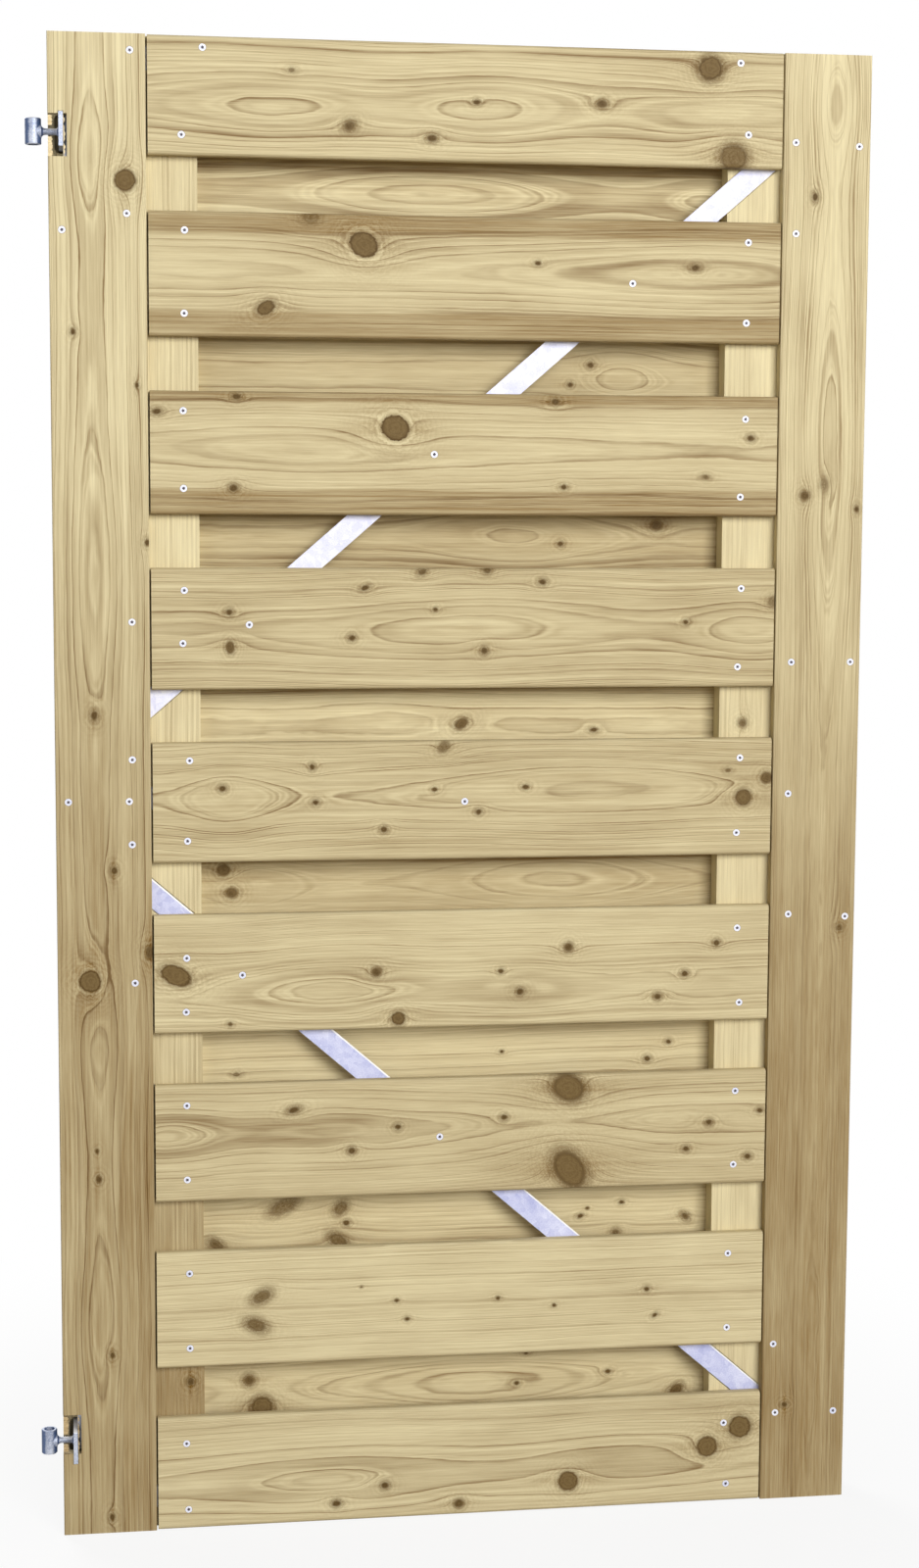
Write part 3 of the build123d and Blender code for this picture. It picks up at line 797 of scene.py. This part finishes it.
# Screw heads, in millimetres. A ring of crushed wood surrounds each, and its recess has lobes. The
# recess is a shallow step that is dark with painted shade
HEAD_RADIUS = 4.3
HEAD_PROUD = 0.12
HEAD_CHAMFER = 0.25
CRUSHED_WIDTH = 0.4
CRUSHED_PROUD = 0.015
SEAT_PROUD = 0.02
RECESS_RADIUS = 1.8
RECESS_PROUD = 0.03
RECESS_LOBES = 5
LOBE_DEPTH = 0.28
HEAD_SIDES = 20

SLIVER_STEPS = 24
SLIVER_THICKNESS = 3


def plain_material(name, colour, rough, grain_size):
    """A dull material with a little noise in its colour and roughness."""
    material, nodes, surface = new_material(name)
    point = nodes.scaled(nodes.add("TexCoord").outputs["Object"], 1 / MM / grain_size)
    wear = nodes.noise(point)
    shade = nodes.linear(wear, 0.2, 1.0)
    nodes.put(surface.inputs["Base Color"], nodes.scaled(colour, shade))
    nodes.put(surface.inputs["Roughness"], nodes.linear(wear, 0.08, rough))
    return material


# Painted shade: the recess is near black, as the hollow of a real recess would be in shade
recess_painted_shade = plain_material("screw_recess_painted_shade", (0.05, 0.035, 0.05), rough=0.6, grain_size=0.6)
crushed_wood = plain_material("crushed_wood", (0.3, 0.2, 0.09), rough=0.75, grain_size=0.8)


def bridge(mesh, first, second, slot=0):
    """Band of quads between two loops of corners, in a material slot."""
    for side in range(len(first)):
        after = (side + 1) % len(first)
        face = mesh.faces.new((first[side], first[after], second[after], second[side]))
        face.material_index = slot


def new_object(name, mesh, *materials):
    """Object of a bmesh, which is freed, with its materials."""
    data = bpy.data.meshes.new(name)
    mesh.to_mesh(data)
    mesh.free()
    for material in materials:
        data.materials.append(material)
    made = bpy.data.objects.new(name, data)
    bpy.context.scene.collection.objects.link(made)
    return made


def add_screws(name, places, surface_y, outward):
    """Screw heads on one face of the leaf, at (x, z) places in metres, as one mesh."""
    mesh = bmesh.new()
    # Radius, height above the face, and material slot of the band from there inward
    rings = (
        (HEAD_RADIUS + CRUSHED_WIDTH, CRUSHED_PROUD, 2), (HEAD_RADIUS, SEAT_PROUD, 0),
        (HEAD_RADIUS - HEAD_CHAMFER, HEAD_PROUD, 0), (RECESS_RADIUS + HEAD_CHAMFER, HEAD_PROUD, 0),
        (RECESS_RADIUS, RECESS_PROUD, 1),
    )
    random = Random(7)
    for x, z in places:
        turn = random.uniform(0, pi)
        loops = []
        for radius, proud, _ in rings:
            loop = []
            for side in range(HEAD_SIDES):
                angle = turn + 2 * pi * side / HEAD_SIDES
                lobe = 1
                if radius == RECESS_RADIUS:
                    lobe += LOBE_DEPTH * cos(RECESS_LOBES * (angle - turn))
                loop.append(mesh.verts.new((
                    x + radius * lobe * MM * cos(angle),
                    surface_y + outward * proud * MM,
                    z + radius * lobe * MM * sin(angle),
                )))
            loops.append(loop)
        for outer, inner, (_, _, slot) in zip(loops, loops[1:], rings):
            bridge(mesh, outer, inner, slot)
        # The recess's floor, dark with painted shade
        bottom = mesh.faces.new(loops[-1])
        bottom.material_index = 1
    bmesh.ops.recalc_face_normals(mesh, faces=mesh.faces)
    piece = new_object(name, mesh, screw_zinc, recess_painted_shade, crushed_wood)
    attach(piece, "root")


# Front screws of each board, as (along, across), and of the stiles, as (from the hinge edge of the
# leaf, from its top)
BOARD_SCREWS = (
    ((179, -55), (154, 45), (822, -55), (833, 29)),
    ((157, -50), (156, 46), (835, -48), (834, 48), (693, 3)),
    ((154, -49), (154, 42), (835, -45), (830, 49), (453, 0)),
    ((154, -46), (152, 17), (833, -48), (830, 48), (231, -5)),
    ((159, -51), (156, 46), (835, -48), (832, 45), (492, 2)),
    ((154, -20), (153, 46), (835, -44), (839, 50), (221, 2)),
    ((153, -47), (153, 45), (836, -46), (835, 48), (463, 1)),
    ((155, -46), (155, 48), (830, -46), (830, 50)),
    ((150, -38), (152, 46), (828, -32), (832, 48)),
)
STILE_SCREWS = (
    (95, 19), (90, 205), (15, 225), (92, 681), (91, 845), (15, 895), (87, 895), (90, 947),
    (92, 1115), (892, 105), (971, 108), (894, 213), (898, 732), (973, 732), (897, 895),
    (900, 1046), (973, 1050), (891, 1597), (895, 1687), (971, 1688),
)
front_places = [(leaf_left + x * MM, leaf_top - y * MM) for x, y in STILE_SCREWS]
for number, places in enumerate(BOARD_SCREWS, 1):
    low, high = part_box(f"front_board_{number}")
    front_places += [(leaf_left + x * MM, (low.z + high.z) / 2 - y * MM) for x, y in places]
add_screws("screws_front", front_places, leaf_front, -1)

# On the rear each board has two screws at each end, and each stile a row near its inner edge
REAR_BOARD_COLUMNS = (154, 832)
REAR_BOARD_ROWS = (-46, 46)
REAR_STILE_COLUMNS = (91, 894)
REAR_STILE_ROWS = (30, 290, 610, 900, 1210, 1500, 1770)
rear_places = []
for number in range(1, len(REAR_BOARDS) + 1):
    low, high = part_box(f"rear_board_{number}")
    for x in REAR_BOARD_COLUMNS:
        for y in REAR_BOARD_ROWS:
            rear_places.append((leaf_left + x * MM, (low.z + high.z) / 2 - y * MM))
for y in REAR_STILE_ROWS:
    for x in REAR_STILE_COLUMNS:
        rear_places.append((leaf_left + x * MM, leaf_top - y * MM))
add_screws("screws_rear", rear_places, leaf_back, 1)


def add_sliver(name, left, width, low, high, depth, ragged, material):
    """Sliver of torn wood that stands in a hinge notch, from its lower end face to its upper one.

    Beside a plate a sliver is a torn chip. Above and below a neck it is a sheet near the front with
    painted light, for the lit wood that lies deep in the notch. Places are in metres. The front
    lies at a depth behind the leaf's, and the right edge is ragged: that share of the width is torn
    off here and there.
    """
    random = Random(11)
    mesh = bmesh.new()
    rows = []
    for step in range(SLIVER_STEPS + 1):
        z = low + (high - low) * step / SLIVER_STEPS
        right = left + width * (1 - ragged * random.random())
        front = leaf_front + depth * random.uniform(0.85, 1.15)
        back = leaf_front + depth + SLIVER_THICKNESS * MM
        corners = ((left, back), (left, front), (right, front), (right, back))
        rows.append([mesh.verts.new((x, y, z)) for x, y in corners])
    for lower, upper in zip(rows, rows[1:]):
        bridge(mesh, lower, upper)
    mesh.faces.new(rows[0])
    mesh.faces.new(rows[-1])
    bmesh.ops.recalc_face_normals(mesh, faces=mesh.faces)
    piece = new_object(name, mesh, material)
    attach(piece, "root")


# Slivers, as (name, left, width, low, high, depth, ragged), in millimetres but for the last. Left
# is counted from the hinge edge of the leaf, low and high from the row's zero height. The outer
# ones stand above and below a neck: sheets near the front with painted light, for the lit wood
# deep in the notch. The inner ones, beside a plate, are torn chips
SLIVERS = (
    ("upper_outer_a", 0.4, 5.4, 1599, 1610.6, 2.5, 0.25),
    ("upper_outer_b", 0.4, 5.4, 1563.6, 1586, 2.5, 0.25),
    ("upper_inner", 17.9, 2.6, 1563.6, 1612.4, 3, 0.95),
    ("lower_outer_a", 0.4, 6.2, 31.5, 53.5, 3, 0.2),
    ("lower_outer_b", 0.4, 6.2, 9.5, 18.5, 3, 0.2),
    ("lower_inner", 17.9, 2.2, 7.6, 56.4, 4, 0.95),
)
# Colours of the slivers: of torn chips, and painted light for the sheets above and below the necks
pale_torn_and_lit = plain_material("torn_and_lit_wood_pale", (0.85, 0.7, 0.42), rough=0.75, grain_size=3)
dark_torn_and_lit = plain_material("torn_and_lit_wood_dark", (0.5, 0.37, 0.19), rough=0.75, grain_size=3)
for name, left, width, low, high, depth, ragged in SLIVERS:
    torn_and_lit_wood = pale_torn_and_lit if name.startswith("upper") else dark_torn_and_lit
    add_sliver("sliver_" + name, leaf_left + left * MM, width * MM, low * MM, high * MM,
               depth * MM, ragged, torn_and_lit_wood)


# The floor, in metres. It lies just under the leaf, has a share of the background's white there,
# and turns wholly white between these distances
FLOOR_RADIUS = 14
FLOOR_DROP = 0.0005
FADE_START = 0.3
FADE_END = 1.3
NEAR_WHITE = 0.87
# Its colour to the camera, and of the light that it throws back up
FLOOR_SEEN = (0.75, 0.75, 0.75, 1)
FLOOR_BOUNCE = (0.3, 0.25, 0.18, 1)
# The sky's strength and colour, as light
SKY_STRENGTH = 0.04
SKY_COLOUR = (1, 0.9, 0.75, 1)


def add_floor():
    """Pale floor that fades into the white background and keeps the shadow of the leaf."""
    mesh = bmesh.new()
    bmesh.ops.create_circle(mesh, cap_ends=True, segments=64, radius=FLOOR_RADIUS)
    floor = new_object("floor", mesh)
    floor.location = ((leaf_left + leaf_right) / 2, 0, leaf_bottom - FLOOR_DROP)
    material, nodes, surface = new_material("floor")
    surface.inputs["Roughness"].default_value = 0.9
    white = nodes.add("Emission")
    white.inputs["Color"].default_value = (1, 1, 1, 1)
    place = nodes.split(nodes.add("TexCoord").outputs["Object"])
    square = nodes.linear(place["X"], place["X"], nodes.times(place["Y"], place["Y"]))
    distance = nodes.math("SQRT", square)
    far = nodes.smooth(distance, FADE_START, FADE_END, NEAR_WHITE, 1.0)
    seen = nodes.background_seen()
    nodes.put(surface.inputs["Base Color"], nodes.mix(seen, FLOOR_BOUNCE, FLOOR_SEEN))
    blend = nodes.add("MixShader")
    nodes.put(blend.inputs[0], nodes.times(far, seen))
    nodes.put(blend.inputs[1], surface.outputs[0])
    nodes.put(blend.inputs[2], white.outputs[0])
    nodes.put(material.node_tree.nodes["Material Output"].inputs["Surface"], blend.outputs[0])
    dress(floor, material)


def add_world():
    """White background, with a dim warm sky that lights the leaf."""
    world = bpy.data.worlds.new("studio")
    bpy.context.scene.world = world
    world.use_nodes = True
    nodes = Nodes(world.node_tree)
    background = world.node_tree.nodes["Background"]
    seen = nodes.background_seen()
    strength = nodes.linear(seen, 1 - SKY_STRENGTH, SKY_STRENGTH)
    nodes.put(background.inputs["Strength"], strength)
    nodes.put(background.inputs["Color"], nodes.mix(seen, SKY_COLOUR, (1, 1, 1, 1)))


def add_lamp(name, place, target, size, power):
    """Soft square lamp that looks at a point."""
    data = bpy.data.lights.new(name, "AREA")
    data.shape = "SQUARE"
    data.size = size
    data.energy = power
    lamp = bpy.data.objects.new(name, data)
    lamp.location = place
    lamp.rotation_euler = (Vector(target) - Vector(place)).to_track_quat("-Z", "Y").to_euler()
    bpy.context.scene.collection.objects.link(lamp)


middle = ((leaf_left + leaf_right) / 2, 0, (leaf_bottom + leaf_top) / 2)
add_floor()
add_world()
add_lamp("key", (2.9, -7.5, 3.6), (middle[0], 0, 1.0), size=4.3, power=690)
add_lamp("fill", (-3.4, -4.6, 2.2), middle, size=2.0, power=38)
add_lamp("back", (-1.6, 4.2, 3.6), middle, size=2.2, power=200)

camera_data = bpy.data.cameras.new("camera")
camera_data.sensor_width = sensor_long_side
camera_data.lens = camera_lens
camera = bpy.data.objects.new("camera", camera_data)
camera.location = camera_place
camera.rotation_euler = [radians(angle) for angle in camera_turn]
bpy.context.scene.collection.objects.link(camera)
bpy.context.scene.camera = camera
bpy.context.scene.view_settings.view_transform = "Standard"
